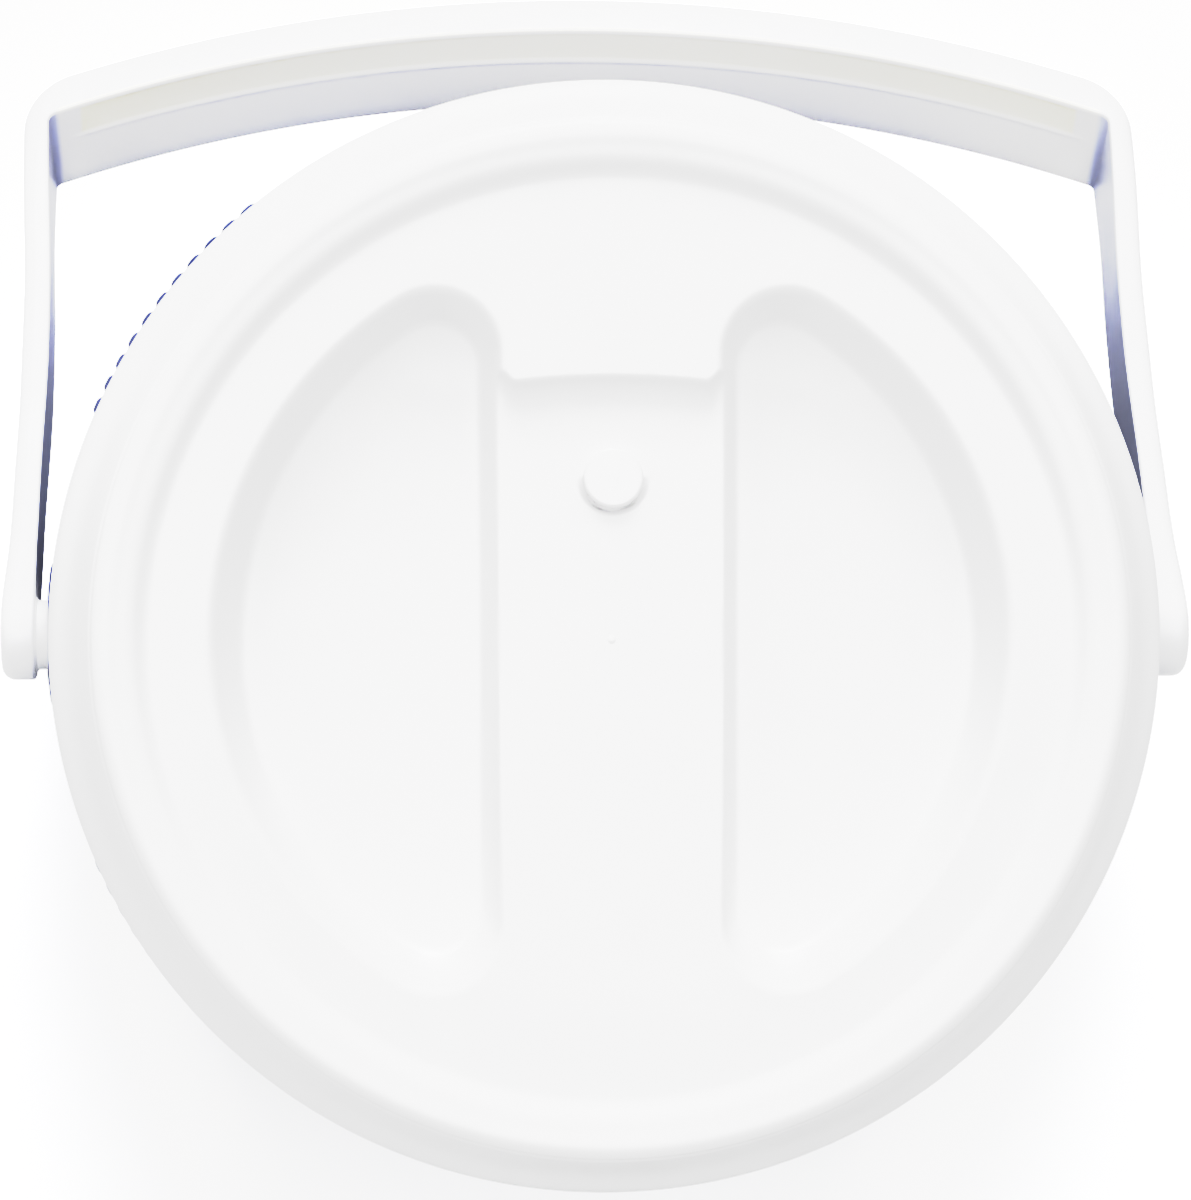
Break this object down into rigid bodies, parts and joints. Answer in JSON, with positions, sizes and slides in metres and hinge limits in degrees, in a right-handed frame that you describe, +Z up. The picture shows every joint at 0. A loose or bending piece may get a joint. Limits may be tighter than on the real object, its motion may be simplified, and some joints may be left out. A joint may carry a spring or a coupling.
{
  "type": "wash bucket",
  "caption": "Round double-walled bucket with ribbed wall, screw-on lid with two D-shaped finger pockets and a grip bar, and a swing bail.",
  "frame": {"origin": "on the body axis, in the plane the base stands on", "axes": "+Z up; X along the bail's pivot axis; +Y towards the back, where the bail rests"},
  "size_m": [0.2844, 0.2996, 0.352],
  "materials": {
    "shell_blue": "satin moulded",
    "foam": "cellular",
    "liner_white": "satin moulded",
    "plug_blue": "satin moulded",
    "bush_white": "smooth",
    "bail_white": "satin moulded",
    "lid_white": "satin moulded",
    "pan_white": "satin moulded",
    "gasket": "soft",
    "lid_plug_white": "smooth"
  },
  "bodies": {
    "vessel": {"outer_shell": "shell_blue", "body_foam": "foam", "inner_liner": "liner_white", "base_fill_plug": "plug_blue", "pivot_bush_left": "bush_white", "pivot_bush_right": "bush_white"},
    "bail": {"bail_handle": "bail_white"},
    "seal": {"lid_gasket": "gasket"},
    "lid": {"lid_shell": "lid_white", "lid_foam": "foam", "lid_pan": "pan_white", "lid_fill_plug": "lid_plug_white"}
  },
  "joints": [
    {"name": "bail_swing", "type": "hinge", "parent": "vessel", "child": "bail", "pos_m": [0, 0, 0.2835], "axis": [1, 0, 0], "range_deg": [0, 251.4]},
    {"name": "lid_lift", "type": "slide", "parent": "vessel", "child": "seal", "axis": [0, 0, 1], "range_m": [0, 0.12]},
    {"name": "lid_turn", "type": "hinge", "parent": "seal", "child": "lid", "pos_m": [0, 0, 0.33], "axis": [0, 0, 1], "range_deg": [0, 1080]}
  ],
  "couplings": [
    {"joint": "lid_lift", "follows": "lid_turn", "m_per_rad": 0.0063662}
  ]
}
